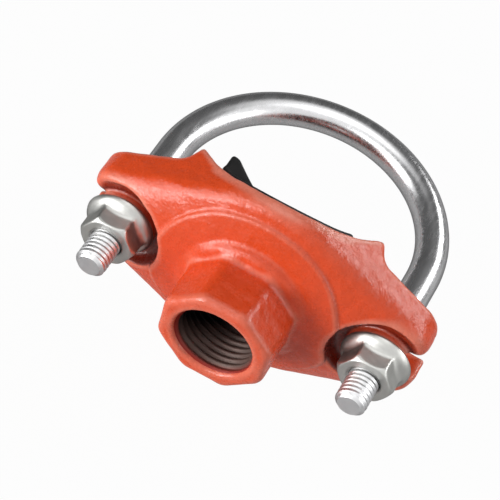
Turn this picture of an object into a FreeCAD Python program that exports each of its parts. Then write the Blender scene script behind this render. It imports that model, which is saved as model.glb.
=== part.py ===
import FreeCAD, Part
import math
import os

# Saddle outlet fitting: a cast saddle with an eight-sided threaded outlet, a rubber gasket and a U-bolt.
# All sizes are in millimetres. The origin is where the outlet axis crosses the run pipe's axis.
# +Z runs along the run pipe, the outlet opens toward -Y, and X runs from leg to leg of the U-bolt.

V = FreeCAD.Vector
PLUS_X = V(1, 0, 0)
PLUS_Y = V(0, 1, 0)
MINUS_Y = V(0, -1, 0)
PLUS_Z = V(0, 0, 1)

# Run pipe and U-bolt
PIPE_R = 30.15
BAR_R = 4.2
LEG_X = PIPE_R + BAR_R
STUD_R = 3.95
THREAD_PITCH = 1.25
DRAWN_IN_TURNS = 6.5
DRAWN_IN = DRAWN_IN_TURNS * THREAD_PITCH
LEG_LENGTH = 42.6
STUD_LENGTH = 24.0
STUD_CHAMFER = 0.9
BAR_STEP = 0.6

# Plan outline of the saddle, seen from the outlet
HUB_R = 28.8
SIDE_SLOPE_DEG = 26.1
EAR_PAST_LEG = 9.95
EAR_END_X = LEG_X + EAR_PAST_LEG
EAR_CORNER_RUN = 2.2
EAR_SHOULDER_X = EAR_END_X - EAR_CORNER_RUN
EAR_END_HALF = 8.0
EAR_CORNER_R = 1.3
SLOT_CLEARANCE = 0.8
SLOT_HALF = BAR_R + SLOT_CLEARANCE

# Heights over the run pipe's surface, and the distances from its axis that follow
RIM_RISE = 2.85
RIM_Y = PIPE_R + RIM_RISE
EAR_THICK = 8.4
EAR_BACK_Y = RIM_Y - EAR_THICK
EAR_BACK_LEAN = 0.8
LOBE_FOOT_Y = EAR_BACK_Y - EAR_BACK_LEAN
EAR_TIP_DROP = 0.8
EAR_TIP_Y = RIM_Y - EAR_TIP_DROP
EAR_SLOPE_DEG = 33.0
RIDGE_RISE = 9.45
RIDGE_Y = PIPE_R + RIDGE_RISE
NUT_FLOOR_RISE = 2.85
NUT_FLOOR_Y = PIPE_R + NUT_FLOOR_RISE
PAD_HEIGHT = 2.0
NUT_SEAT_Y = NUT_FLOOR_Y + PAD_HEIGHT
OUTLET_RISE = 23.65
OUTLET_FACE_Y = PIPE_R + OUTLET_RISE

# Crown over the rim
CROWN_RISE = 5.4
EAR_RISE = 3.0
CROWN_PAST_EAR = 3.4
CROWN_END_X = EAR_END_X + CROWN_PAST_EAR
NOSE_SPREAD = 1.6
CROWN_MARGIN = 4.0

# Lobes that end the pipe arc
ARC_END_X = 22.6
LOBE_WIDTH = 1.4
LOBE_OUTER_X = ARC_END_X + LOBE_WIDTH
LOBE_TOP_STEP = 0.8
LOBE_R = 1.1
LOBE_LEAN = 2.2
LOBE_FOOT_X = LOBE_OUTER_X + LOBE_LEAN
LOBE_FOOT_R = 1.4

# How far past a solid its cutting and clipping blocks run, and how deep a raised part is rooted
BEYOND = 60.0
ROOT = 0.5

# Nut pockets and pads
POCKET_R = 11.2
PAD_R = 8.2

# Hub disc, collar and outlet boss
DISC_R = 24.8
DISC_RISE = 0.8
COLLAR_R = 17.8
COLLAR_RISE = 7.85
COLLAR_EDGE_Y = PIPE_R + COLLAR_RISE
COLLAR_SLOPE = 1.8
COLLAR_Y = COLLAR_EDGE_Y + COLLAR_SLOPE
COLLAR_TOP_R = 16.2
BOSS_FLATS = 27.8
BOSS_LENGTH = 17.8
BOSS_ROOT_Y = OUTLET_FACE_Y - BOSS_LENGTH
BOSS_EDGE = 1.6

# Outlet bore
THREAD_MINOR_R = 9.32
THREAD_MOUTH_R = 10.5
THREAD_MOUTH_DEPTH = 1.2
THREAD_LENGTH = 16.0
WATERWAY_R = 8.6

# Gasket seat and locating collar
PAD_SEAT_R = 26.7
PAD_SEAT_X = 17.3
PAD_SEAT_DEPTH = 1.3
GROOVE_R = 22.2
GROOVE_DEPTH = 3.0
LOCATOR_R = 14.3
LOCATOR_REACH = 3.55
LOCATOR_TIP_Y = PIPE_R - LOCATOR_REACH
LOCATOR_BORE_R = 10.6
WATERWAY_TAPER = 1.6

# Gasket
GASKET_GAP = 0.12
GASKET_PROUD = 2.3
GASKET_INNER_R = 15.0
LEAF_FAR_Z = 21.0
LEAF_THICK = 2.6
LEAF_REACH = 12.55
LEAF_TIP_Y = PIPE_R - LEAF_REACH
LEAF_TIP_WIDTH = 1.8
LEAF_LENGTH = 14.0
LEAF_FALL = 9.4
LEAF_ROOT_Y = LEAF_TIP_Y + LEAF_FALL
LEAF_ROOT_DEPTH = 2.0
LEAF_BOW = 0.6

# Flange nut
NUT_FLATS = 13.0
NUT_HEIGHT = 7.6
NUT_FLANGE_R = 8.95
NUT_RIM = 1.3
NUT_CONE_TOP = 2.9
NUT_BEVEL = 1.2
NUT_CLEARANCE = 0.08
NUT_BORE_R = STUD_R + NUT_CLEARANCE
NUT_BORE_EDGE = 0.5


def cylinder_y(radius, y_near, y_far, x=0.0, z=0.0):
    """Cylinder along Y between two distances from the pipe axis, on the outlet side."""
    low = min(y_near, y_far)
    high = max(y_near, y_far)
    return Part.makeCylinder(radius, high - low, V(x, -high, z), PLUS_Y)


def cone_y(r_near, r_far, y_near, y_far, x=0.0, z=0.0):
    """Cone along Y: r_near at the distance nearer the pipe, r_far at the farther one."""
    return Part.makeCone(r_near, r_far, y_far - y_near, V(x, -y_near, z), MINUS_Y)


def octagon(flats, y):
    """Closed wire of an eight-sided outline with flats facing X and Z."""
    corner_r = flats / 2.0 / math.cos(math.radians(22.5))
    points = []
    for k in range(9):
        a = math.radians(22.5 + 45.0 * k)
        points.append(V(corner_r * math.cos(a), -y, corner_r * math.sin(a)))
    return Part.makePolygon(points)


def hexagon(flats, y, x):
    """Closed wire of a hexagon around a leg."""
    corner_r = flats / 2.0 / math.cos(math.radians(30.0))
    points = []
    for k in range(7):
        a = math.radians(60.0 * k)
        points.append(V(x + corner_r * math.cos(a), -y, corner_r * math.sin(a)))
    return Part.makePolygon(points)


def edges_where(shape, test):
    """Edges of a shape that meet a test."""
    return [e for e in shape.Edges if test(e)]


def plan_block():
    """Saddle outline as a tall block: a round hub whose tangents run out to the ears."""
    a = math.radians(SIDE_SLOPE_DEG)
    tangent_x = HUB_R * math.sin(a)
    tangent_z = HUB_R * math.cos(a)
    shoulder_z = (HUB_R - EAR_SHOULDER_X * math.sin(a)) / math.cos(a)
    quarter = [
        (tangent_x, tangent_z),
        (EAR_SHOULDER_X, shoulder_z),
        (EAR_END_X, EAR_END_HALF),
    ]
    points = [V(x, -BEYOND, z) for x, z in quarter]
    points += [V(x, -BEYOND, -z) for x, z in reversed(quarter)]
    points += [V(-x, -BEYOND, -z) for x, z in quarter]
    points += [V(-x, -BEYOND, z) for x, z in reversed(quarter)]
    points.append(points[0])
    lozenge = Part.Face(Part.makePolygon(points)).extrude(V(0, BEYOND, 0))
    corners = edges_where(
        lozenge,
        lambda e: e.Length > BEYOND - ROOT and abs(e.CenterOfMass.x) > EAR_SHOULDER_X - ROOT,
    )
    lozenge = lozenge.makeFillet(EAR_CORNER_R, corners)
    hub = cylinder_y(HUB_R, 0.0, BEYOND)
    return lozenge.fuse(hub).removeSplitter()


def side_profile():
    """Saddle seen along the pipe: pipe arc, lobes, flat ear backs that lean, and the sloping front."""
    low = -BEYOND
    arc_end = V(ARC_END_X, -math.sqrt(PIPE_R ** 2 - ARC_END_X ** 2), low)
    lobe_y = arc_end.y + LOBE_TOP_STEP
    arc_start = V(-arc_end.x, arc_end.y, low)
    slope = math.tan(math.radians(EAR_SLOPE_DEG))
    end_x = EAR_END_X + ROOT
    right = [
        arc_end,
        V(LOBE_OUTER_X, lobe_y, low),
        V(LOBE_FOOT_X, -LOBE_FOOT_Y, low),
        V(end_x, -EAR_BACK_Y, low),
        V(end_x, -EAR_TIP_Y + ROOT * slope, low),
        V(EAR_END_X - (RIDGE_Y - EAR_TIP_Y) / slope, -RIDGE_Y, low),
    ]
    left = [V(-p.x, p.y, p.z) for p in reversed(right)]
    edges = [Part.Arc(arc_start, V(0, -PIPE_R, low), arc_end).toShape()]
    outline = right + left
    for p, q in zip(outline[:-1], outline[1:]):
        edges.append(Part.makeLine(p, q))
    block = Part.Face(Part.Wire(edges)).extrude(V(0, 0, 2 * BEYOND))
    for x, radius in ((LOBE_OUTER_X, LOBE_R), (LOBE_FOOT_X, LOBE_FOOT_R)):
        corners = edges_where(
            block,
            lambda e: e.Length > 2 * BEYOND - ROOT and abs(abs(e.CenterOfMass.x) - x) < 0.01,
        )
        block = block.makeFillet(radius, corners)
    return block


def crown_section(x, rise, lift):
    """Section of the crown: an arc over the rim's two edges, closed well behind the saddle."""
    a = math.radians(SIDE_SLOPE_DEG)
    half = min((HUB_R - abs(x) * math.sin(a)) / math.cos(a), HUB_R + NOSE_SPREAD)
    top_y = -RIM_Y - rise - lift
    wide = half + CROWN_MARGIN
    edge_y = top_y + rise * (wide / half) ** 2
    left = V(x, edge_y, -wide)
    right = V(x, edge_y, wide)
    back_right = V(x, 0, wide)
    back_left = V(x, 0, -wide)
    return Part.Wire(
        [
            Part.Arc(left, V(x, top_y, 0), right).toShape(),
            Part.makeLine(right, back_right),
            Part.makeLine(back_right, back_left),
            Part.makeLine(back_left, left),
        ]
    )


def crown(lift=0.0):
    """Front of the saddle: arcs across Z that shrink smoothly from the hub out to each ear."""
    middle_x = CROWN_END_X / 2.0
    stations = [
        (-CROWN_END_X, EAR_RISE),
        (-middle_x, CROWN_RISE),
        (0.0, CROWN_RISE),
        (middle_x, CROWN_RISE),
        (CROWN_END_X, EAR_RISE),
    ]
    sections = [crown_section(x, rise, lift) for x, rise in stations]
    return Part.makeLoft(sections, True, False)


def saddle_body():
    """Crowned saddle with its hub disc and nut pockets, before the outlet is added."""
    body = plan_block().common(side_profile()).common(crown())
    disc = cylinder_y(DISC_R, RIM_Y, BEYOND).common(crown(DISC_RISE))
    body = body.fuse(disc)
    for side in (-1, 1):
        x = side * LEG_X
        body = body.cut(cylinder_y(POCKET_R, NUT_FLOOR_Y, BEYOND, x))
        body = body.fuse(cylinder_y(PAD_R, NUT_FLOOR_Y - ROOT, NUT_SEAT_Y, x))
        slot_x = x if side > 0 else x - BEYOND
        slot = Part.makeBox(BEYOND, BEYOND, 2 * SLOT_HALF, V(slot_x, -BEYOND, -SLOT_HALF))
        body = body.cut(slot.fuse(cylinder_y(SLOT_HALF, 0.0, BEYOND, x)))
    return body


def outlet_boss():
    """Stepped round collar and the eight-sided outlet boss."""
    collar = cylinder_y(COLLAR_R, RIM_Y, COLLAR_EDGE_Y)
    collar = collar.fuse(cone_y(COLLAR_R, COLLAR_TOP_R, COLLAR_EDGE_Y, COLLAR_Y))
    root = Part.Face(octagon(BOSS_FLATS, BOSS_ROOT_Y))
    boss = root.extrude(V(0, BOSS_ROOT_Y - OUTLET_FACE_Y, 0))
    rim = edges_where(boss, lambda e: abs(e.CenterOfMass.y + OUTLET_FACE_Y) < 0.01)
    boss = boss.makeFillet(BOSS_EDGE, rim)
    return collar.fuse(boss)


def pad_outline(hub_r, half_x, y_near, y_far):
    """Barrel-shaped block that follows the saddle's plan inside its rim."""
    a = math.radians(SIDE_SLOPE_DEG)
    tangent_x = hub_r * math.sin(a)
    tangent_z = hub_r * math.cos(a)
    corner_z = (hub_r - half_x * math.sin(a)) / math.cos(a)
    quarter = [(tangent_x, tangent_z), (half_x, corner_z)]
    points = [V(x, -y_far, z) for x, z in quarter]
    points += [V(x, -y_far, -z) for x, z in reversed(quarter)]
    points += [V(-x, -y_far, -z) for x, z in quarter]
    points += [V(-x, -y_far, z) for x, z in reversed(quarter)]
    points.append(points[0])
    block = Part.Face(Part.makePolygon(points)).extrude(V(0, y_far - y_near, 0))
    hub = cylinder_y(hub_r, y_near, y_far)
    sides = Part.makeBox(2 * half_x, BEYOND, 2 * BEYOND, V(-half_x, -BEYOND, -BEYOND))
    hub = hub.common(sides)
    return block.fuse(hub).removeSplitter()


def pipe_bar(radius):
    """Bar on the run pipe's axis."""
    return Part.makeCylinder(radius, 2 * BEYOND, V(0, 0, -BEYOND), PLUS_Z)


def gasket_seat(gap):
    """Shallow pad seat and deep ring groove in the saddle; gap shrinks it for the gasket."""
    pad = pad_outline(PAD_SEAT_R - gap, PAD_SEAT_X - gap, 0.0, BEYOND)
    pad = pad.common(pipe_bar(PIPE_R + PAD_SEAT_DEPTH - gap))
    groove = cylinder_y(GROOVE_R - gap, 0.0, BEYOND)
    groove = groove.common(pipe_bar(PIPE_R + GROOVE_DEPTH - gap))
    return pad.fuse(groove)


def saddle_housing():
    """One casting: saddle, collar, outlet boss, bores and gasket seat."""
    body = saddle_body().fuse(outlet_boss())
    body = body.cut(gasket_seat(0.0))
    locator = cylinder_y(LOCATOR_R, LOCATOR_TIP_Y, RIM_Y + ROOT)
    body = body.fuse(locator)
    body = body.cut(cylinder_y(LOCATOR_BORE_R, 0.0, RIM_Y))
    body = body.cut(cone_y(LOCATOR_BORE_R, WATERWAY_R, RIM_Y, RIM_Y + WATERWAY_TAPER))
    body = body.cut(cylinder_y(WATERWAY_R, RIM_Y, OUTLET_FACE_Y))
    body = body.cut(cylinder_y(THREAD_MINOR_R, OUTLET_FACE_Y - THREAD_LENGTH, OUTLET_FACE_Y + ROOT))
    mouth_near = OUTLET_FACE_Y - THREAD_MOUTH_DEPTH
    body = body.cut(cone_y(THREAD_MINOR_R, THREAD_MOUTH_R, mouth_near, OUTLET_FACE_Y))
    return body.removeSplitter()


def gasket_leaf():
    """Pointed leaf at one corner of the gasket pad, its long edge bowed like the pipe."""
    corner_x = -PAD_SEAT_X + GASKET_GAP
    low = LEAF_FAR_Z - LEAF_THICK
    root = V(corner_x, -LEAF_ROOT_Y - LEAF_ROOT_DEPTH, low)
    shoulder = V(corner_x, -LEAF_TIP_Y - LEAF_TIP_WIDTH, low)
    tip = V(corner_x + LEAF_TIP_WIDTH / 2.0, -LEAF_TIP_Y, low)
    crest = V(corner_x + LEAF_TIP_WIDTH, -LEAF_TIP_Y - LEAF_BOW / 2.0, low)
    toe = V(corner_x + LEAF_LENGTH, -LEAF_ROOT_Y, low)
    toe_root = V(toe.x, root.y, low)
    middle = V((crest.x + toe.x) / 2.0, (crest.y + toe.y) / 2.0 - LEAF_BOW, low)
    edges = [
        Part.makeLine(root, shoulder),
        Part.makeLine(shoulder, tip),
        Part.makeLine(tip, crest),
        Part.Arc(crest, middle, toe).toShape(),
        Part.makeLine(toe, toe_root),
        Part.makeLine(toe_root, root),
    ]
    return Part.Face(Part.Wire(edges)).extrude(V(0, 0, LEAF_THICK))


def gasket():
    """Moulded rubber pad with a deep ring, bent to the pipe and proud of the metal."""
    body = gasket_seat(GASKET_GAP)
    body = body.cut(cylinder_y(GASKET_INNER_R, 0.0, BEYOND))
    body = body.cut(pipe_bar(PIPE_R - GASKET_PROUD))
    leaf = gasket_leaf()
    other = leaf.copy()
    other.rotate(V(0, 0, 0), PLUS_Y, 180.0)
    leaves = leaf.fuse(other)
    seat_clear = pipe_bar(PIPE_R + PAD_SEAT_DEPTH - GASKET_GAP)
    return body.fuse(leaves.common(seat_clear)).removeSplitter()


def u_bolt():
    """Round bar bent to the pipe, with two threaded legs."""
    arc_y = -DRAWN_IN
    bend = Part.makeTorus(LEG_X, BAR_R, V(0, arc_y, 0), PLUS_Z, 0, 360)
    reach = LEG_X + 2 * BAR_R
    half = Part.makeBox(2 * reach, reach, 4 * BAR_R, V(-reach, arc_y, -2 * BAR_R))
    bolt = bend.common(half)
    end_y = arc_y - LEG_LENGTH
    stud_top = end_y + STUD_LENGTH
    for x in (-LEG_X, LEG_X):
        bar = Part.makeCylinder(BAR_R, arc_y - stud_top, V(x, stud_top, 0), PLUS_Y)
        step = Part.makeCone(STUD_R, BAR_R, BAR_STEP, V(x, stud_top - BAR_STEP, 0), PLUS_Y)
        stud_length = STUD_LENGTH - BAR_STEP - STUD_CHAMFER
        stud = Part.makeCylinder(STUD_R, stud_length, V(x, end_y + STUD_CHAMFER, 0), PLUS_Y)
        tip = Part.makeCone(STUD_R - STUD_CHAMFER, STUD_R, STUD_CHAMFER, V(x, end_y, 0), PLUS_Y)
        bolt = bolt.fuse([bar, step, stud, tip])
    return bolt.removeSplitter()


def flange_nut(x):
    """Hexagon nut with its own flange, seated on the pad."""
    base_y = NUT_SEAT_Y
    top_y = NUT_SEAT_Y + NUT_HEIGHT
    prism_y = base_y + NUT_RIM / 2.0
    prism = Part.Face(hexagon(NUT_FLATS, prism_y, x)).extrude(V(0, prism_y - top_y, 0))
    flat_r = NUT_FLATS / 2.0
    over_r = 2 * NUT_FLATS
    over_y = top_y - NUT_BEVEL * (over_r - flat_r) / (NUT_FLATS / math.sqrt(3.0) - flat_r)
    prism = prism.common(cone_y(over_r, flat_r, over_y, top_y, x))
    rim = cylinder_y(NUT_FLANGE_R, base_y, base_y + NUT_RIM, x)
    slope = cone_y(NUT_FLANGE_R, flat_r, base_y + NUT_RIM, base_y + NUT_CONE_TOP, x)
    nut = prism.fuse([rim, slope])
    nut = nut.cut(cylinder_y(NUT_BORE_R, base_y - ROOT, top_y + ROOT, x))
    nut = nut.cut(cone_y(NUT_BORE_R, NUT_BORE_R + NUT_BORE_EDGE, top_y - NUT_BORE_EDGE, top_y, x))
    return nut.removeSplitter()


NODES = {
    "saddle_housing": saddle_housing(),
    "gasket": gasket(),
    "u_bolt": u_bolt(),
    "left_nut": flange_nut(-LEG_X),
    "right_nut": flange_nut(LEG_X),
}

os.makedirs("parts", exist_ok=True)
for name, shape in NODES.items():
    shape.exportStep("parts/" + name + ".step")
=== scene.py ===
import math

import bmesh
import bpy
import numpy as np
from mathutils import Euler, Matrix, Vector


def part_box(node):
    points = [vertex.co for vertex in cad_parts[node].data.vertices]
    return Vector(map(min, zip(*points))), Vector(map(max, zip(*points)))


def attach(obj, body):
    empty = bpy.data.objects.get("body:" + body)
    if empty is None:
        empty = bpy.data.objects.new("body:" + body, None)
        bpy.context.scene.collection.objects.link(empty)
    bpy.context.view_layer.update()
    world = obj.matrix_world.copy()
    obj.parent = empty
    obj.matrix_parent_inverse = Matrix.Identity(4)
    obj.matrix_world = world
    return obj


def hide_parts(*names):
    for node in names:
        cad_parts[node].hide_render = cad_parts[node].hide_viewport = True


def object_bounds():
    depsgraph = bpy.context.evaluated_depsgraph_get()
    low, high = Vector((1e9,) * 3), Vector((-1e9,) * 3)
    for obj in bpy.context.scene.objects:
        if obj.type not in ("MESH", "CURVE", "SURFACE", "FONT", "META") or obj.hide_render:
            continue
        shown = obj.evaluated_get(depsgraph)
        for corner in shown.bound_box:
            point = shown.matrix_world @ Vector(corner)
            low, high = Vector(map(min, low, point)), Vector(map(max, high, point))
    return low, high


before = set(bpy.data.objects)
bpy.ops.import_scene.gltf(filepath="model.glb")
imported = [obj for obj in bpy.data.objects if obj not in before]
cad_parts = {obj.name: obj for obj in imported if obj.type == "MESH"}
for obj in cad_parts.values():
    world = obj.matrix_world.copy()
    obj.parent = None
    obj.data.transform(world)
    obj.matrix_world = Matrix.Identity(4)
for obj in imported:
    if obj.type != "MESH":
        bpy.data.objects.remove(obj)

bl_info = {
    "name": "Saddle Outlet Fitting",
    "version": (1, 0, 0),
    "blender": (4, 5, 0),
    "location": "3D View > Sidebar > Fitting",
    "description": "Cast saddle with a threaded outlet, gasket, U-bolt and flange nuts",
    "category": "Object",
}

CAD_BOX = [list(corner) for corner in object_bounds()]
MM = 0.001


def node_box(node):
    """Lowest and highest corner of a frame node, in millimetres."""
    low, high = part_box(node)
    return [v / MM for v in low], [v / MM for v in high]


SADDLE_LOW, SADDLE_HIGH = node_box("saddle_housing")
BOLT_LOW, BOLT_HIGH = node_box("u_bolt")
NUT_LOW, NUT_HIGH = node_box("right_nut")
LEG_X = (NUT_LOW[0] + NUT_HIGH[0]) / 2.0
BAR_R = BOLT_HIGH[2]
PIPE_R = LEG_X - BAR_R
FLANGE_R = (NUT_HIGH[0] - NUT_LOW[0]) / 2.0


def length(name, default, about):
    """A size in millimetres that a user may change."""
    return bpy.props.FloatProperty(name=name, description=about, default=default, precision=3)


def angle(name, default, about):
    """An angle that a user may change; its default is given in degrees."""
    return bpy.props.FloatProperty(
        name=name, description=about, default=math.radians(default), subtype="ANGLE"
    )


def watts(name, default, about):
    """A lamp's power that a user may change."""
    return bpy.props.FloatProperty(
        name=name, description=about, default=default, min=0.0, unit="POWER", precision=3
    )


def colour(name, default, about):
    """A linear colour that a user may change."""
    return bpy.props.FloatVectorProperty(
        name=name, description=about, default=default, subtype="COLOR", size=3, min=0.0, max=1.0
    )


def share(name, default, about):
    """A part of one that a user may change."""
    return bpy.props.FloatProperty(
        name=name, description=about, default=default, min=0.0, max=1.0, subtype="FACTOR"
    )


class CastingSizes(bpy.types.PropertyGroup):
    """Saddle casting, in millimetres from the run pipe's axis."""

    hub_r: length("Hub radius", SADDLE_HIGH[2], "Plan radius of the round middle")
    slope: angle("Flank slope", 26.1, "Angle of the flanks that run out to the ears")
    end_x: length("Ear end", SADDLE_HIGH[0], "Distance from the outlet axis to an ear's end")
    shoulder_x: length("Ear shoulder", 42.1, "Where a flank turns in to the ear's end")
    end_half: length("Ear end half width", 8.0, "Half the width of an ear's end")
    ear_back: length("Ear back", 24.6, "Height of the ears' flat backs at their ends")
    ear_tip: length("Ear tip", 32.2, "Height of the front edge at an ear's end")
    ear_slope: angle("Ear slope", 33.0, "Slope of the front over an ear")
    rim: length("Rim", 33.0, "Height of the front edge along the flanks")
    crown_rise: length("Crown rise", 5.4, "Rise of the front over its rim at the hub")
    ear_rise: length("Ear rise", 3.0, "Rise of the front over its rim past the ears")
    lobe_x: length("Lobe", 24.0, "Outer top corner of the lobes that end the pipe arc")
    lobe_top: length("Lobe top", 19.156, "Height of that corner")
    foot_x: length("Lobe foot", 26.2, "Where a lobe's outer side meets the ear's back")
    foot_height: length("Lobe foot height", 23.8, "Height of the ear's back at the lobe's foot")
    arc_end_x: length("Arc end", 22.6, "Where the pipe arc ends")
    pocket_r: length("Pocket radius", 11.7, "Radius of a nut pocket")
    pad_r: length("Pad radius", 8.2, "Radius of a nut pad")
    pad_top: length("Pad top", 35.0, "Height of a nut pad")
    slot_half: length("Slot half width", 5.0, "Half the width of an ear's slot")
    disc_r: length("Disc radius", 24.8, "Radius of the raised disc round the outlet")
    disc_rise: length("Disc rise", 0.8, "Rise of the disc over the crown")
    collar_r: length("Collar radius", 17.8, "Radius of the stepped collar")
    collar_root: length("Collar edge", 38.0, "Height where the collar's sloping edge starts")
    collar_top_r: length("Collar top radius", 16.2, "Radius at the top of the collar")
    collar_top: length("Collar top", 39.8, "Height of the collar's top")
    boss_flats: length("Boss flats", 27.8, "Distance across the flats of the outlet boss")
    boss_top: length("Boss top", -SADDLE_LOW[1], "Height of the outlet's face")
    bore_r: length("Bore radius", 10.05, "Radius of the bore that holds the thread")
    bore_floor: length("Bore floor", 37.8, "Height of the step at the thread's inner end")
    waterway_r: length("Waterway radius", 8.6, "Radius of the waterway behind the thread")
    locator_r: length("Locator radius", 14.3, "Outer radius of the collar that centres the gasket")
    locator_bore_r: length("Locator bore", 10.6, "Inner radius of that collar")
    locator_tip: length("Locator tip", 26.6, "Height of that collar's tip")
    mesh_step: length("Mesh step", 0.45, "Grid step of the casting's skin")
    paint: colour("Paint", (0.78, 0.074, 0.013), "Colour of the enamel")
    # Painted shade: a darker enamel colour laid into corners and creases, where shade falls
    painted_corner_shade: colour("Paint in recesses", (0.36, 0.016, 0.006), "Colour of the enamel in a corner")
    # Painted shade: near-black enamel colour laid in the gap between a nut's flange and its pocket,
    # where the shadow falls
    paint_gap: colour("Paint in gaps", (0.10, 0.006, 0.004), "Colour of the enamel by a nut's seat")
    # Painted highlight: a pale pink laid on convex edges, partly where the enamel runs thin
    paint_edge: colour("Paint on edges", (0.90, 0.36, 0.26), "Colour of the thin enamel on an edge")
    gloss: share("Paint roughness", 0.28, "Roughness of the enamel")


class ThreadSizes(bpy.types.PropertyGroup):
    """Outlet and stud threads, in millimetres."""

    outlet_pitch: length("Outlet pitch", 1.814, "Pitch of the half-inch pipe thread")
    outlet_crest_r: length("Outlet crest radius", 9.32, "Inner radius of the outlet's thread")
    outlet_root_r: length("Outlet root radius", 10.0, "Outer radius of the outlet's thread")
    stud_pitch: length("Stud pitch", 1.25, "Pitch of the stud's thread")
    stud_crest_r: length("Stud crest radius", 3.93, "Outer radius of the stud's thread")
    stud_root_r: length("Stud root radius", 3.66, "Inner radius of the stud's thread")
    stud_length: length("Stud length", 24.0, "Threaded length of a leg")
    drawn_in: length("Drawn in", 8.125, "How far the bend's centre lies past the pipe's axis")
    zinc: colour("Zinc", (0.80, 0.80, 0.81), "Colour of the zinc plate")


class NutSizes(bpy.types.PropertyGroup):
    """Flange nut, in millimetres."""

    flats: length("Flats", 13.0, "Distance across the hexagon's flats")
    height: length("Height", NUT_HIGH[1] - NUT_LOW[1], "Height of the nut")
    seat: length("Seat", -NUT_HIGH[1], "Distance of the nut's seat from the run pipe's axis")
    flange_r: length("Flange radius", FLANGE_R, "Radius of the flange")
    rim: length("Flange rim", 1.3, "Height of the flange's upright rim")
    cone: length("Flange cone", 2.9, "Height where the flange's cone meets the hexagon")
    bevel: length("Bevel", 1.2, "Height that the top bevel takes off a corner")
    bore_r: length("Bore radius", 4.0, "Radius of the nut's bore")
    mesh_step: length("Mesh step", 0.20, "Grid step of a nut's skin")
    zinc: colour("Nut zinc", (0.60, 0.60, 0.575), "Colour of the nuts' zinc plate")


class GasketSizes(bpy.types.PropertyGroup):
    """Gasket and its seat in the saddle, in millimetres."""

    seat_r: length("Seat radius", 26.7, "Plan radius of the shallow pad seat")
    seat_x: length("Seat half width", 17.3, "Half the width of the pad seat")
    seat_depth: length("Seat depth", 1.3, "Depth of the pad seat behind the pipe arc")
    groove_r: length("Groove radius", 22.2, "Plan radius of the deep ring groove")
    groove_depth: length("Groove depth", 3.0, "Depth of the ring groove behind the pipe arc")
    gap: length("Gap", 0.14, "Gap between the gasket and its seat")
    proud: length("Proud", 2.3, "How far the gasket stands into the pipe's place")
    inner_r: length("Inner radius", 15.0, "Radius of the gasket's hole")
    leaf_far_z: length("Leaf far side", 21.0, "Far side of a leaf along the pipe")
    leaf_thick: length("Leaf thickness", 2.6, "Thickness of a leaf")
    leaf_tip: length("Leaf tip", 17.6, "Height of a leaf's point")
    leaf_root: length("Leaf root", 27.0, "Height where a leaf's long edge runs out")
    leaf_length: length("Leaf length", 14.0, "Length of a leaf across the pipe")
    mesh_step: length("Mesh step", 0.40, "Grid step of the gasket's skin")
    rubber: colour("Rubber", (0.010, 0.010, 0.010), "Colour of the rubber")


class StageSizes(bpy.types.PropertyGroup):
    """Camera, floor and lamps."""

    camera_place: bpy.props.FloatVectorProperty(
        name="Camera place", description="Where the camera stands", size=3, subtype="TRANSLATION",
        default=(0.05774, -0.31701, 0.37285), precision=5,
    )
    camera_turn: bpy.props.FloatVectorProperty(
        name="Camera turn", description="Turn of the camera about X, Y and Z", size=3,
        default=[math.radians(v) for v in (37.2992, -11.4668, 26.6643)], subtype="EULER",
    )
    lens: bpy.props.FloatProperty(
        name="Lens", description="Focal length on a 36 mm sensor", default=144.0, unit="CAMERA"
    )
    floor: colour("Floor", (0.50, 0.50, 0.50), "Colour of the floor")
    glow: share("Floor glow", 0.97, "How much of the floor's look is plain white")
    mirrored: share("Mirrored glow", 0.12, "How much of that glow metal shows")
    left_power: watts("Left lamp", 3.2, "Soft lamp left of the outlet")
    high_power: watts("High lamp", 1.3, "Soft lamp left of the outlet and above it")
    rim_power: watts("Rim lamp", 0.5, "Small lamp that the left shoulder mirrors")
    front_power: watts("Front lamp", 2.5, "Soft lamp before the outlet and to its left")
    right_power: watts("Right lamp", 0.8, "Soft lamp right of the outlet")
    back_power: watts("Back lamp", 2.9, "Long low lamp behind and to the right")
    top_power: watts("Top lamp", 0.7, "Soft lamp overhead")
    sky_light: share("Light sky", 0.95, "Brightness of the studio before and above, as metal shows it")
    sky_dark: share("Dark sky", 0.10, "Brightness of the studio behind, as metal shows it")
    fill: share("Fill", 0.10, "Even soft light from the studio all round")


def blend_min(a, b, width):
    """Union of two distance fields, with a fillet about as wide as width."""
    near = np.clip(width - np.abs(a - b), 0.0, None) / width
    return np.minimum(a, b) - near * near * width / 4.0


def blend_max(a, b, width):
    """Common part of two distance fields, with a rounded edge about as wide as width."""
    return -blend_min(-a, -b, width)


def through_three(x, step, y0, y1, y2):
    """Even natural spline through the values at 0, one step and two steps."""
    r0 = 12.0 * (y1 - y0) / step ** 2
    r1 = 6.0 * (y0 - 2.0 * y1 + y2) / step ** 2
    m0 = (2.0 * r0 - r1) / 7.0
    m1 = (r0 - 4.0 * m0) / 2.0
    t = np.abs(x) / step
    outer = t > 1.0
    u = np.where(outer, t - 1.0, t)
    w = 1.0 - u
    ya, yb = np.where(outer, y1, y0), np.where(outer, y2, y1)
    ma, mb = np.where(outer, m1, m0), np.where(outer, 0.0, m1)
    return w * ya + u * yb - step ** 2 / 6.0 * ((u - u ** 3) * mb + (w - w ** 3) * ma)


def unevenness(x, d, z):
    """Irregular swell of a sand casting's skin, mostly between -1 and 1, from eight crossing waves."""
    total = 0.0
    for k in range(8):
        turn, tilt, pace = 2.4 * k, math.cos(1.1 + 0.8 * k), 0.8 + 0.17 * k
        flat = math.sqrt(1.0 - tilt ** 2)
        along = x * flat * math.cos(turn) + z * flat * math.sin(turn) + d * tilt
        total = total + np.sin(pace * along + 1.9 * k)
    return total / 4.0


def flank_field(x, z, hub_r, slope):
    """Plan outline of a round hub whose tangents run out along X."""
    ax, az = np.abs(x), np.abs(z)
    sin, cos = math.sin(slope), math.cos(slope)
    flank = ax * sin + az * cos - hub_r
    return np.where(ax * cos - az * sin > 0.0, flank, np.hypot(ax, az) - hub_r)


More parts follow.
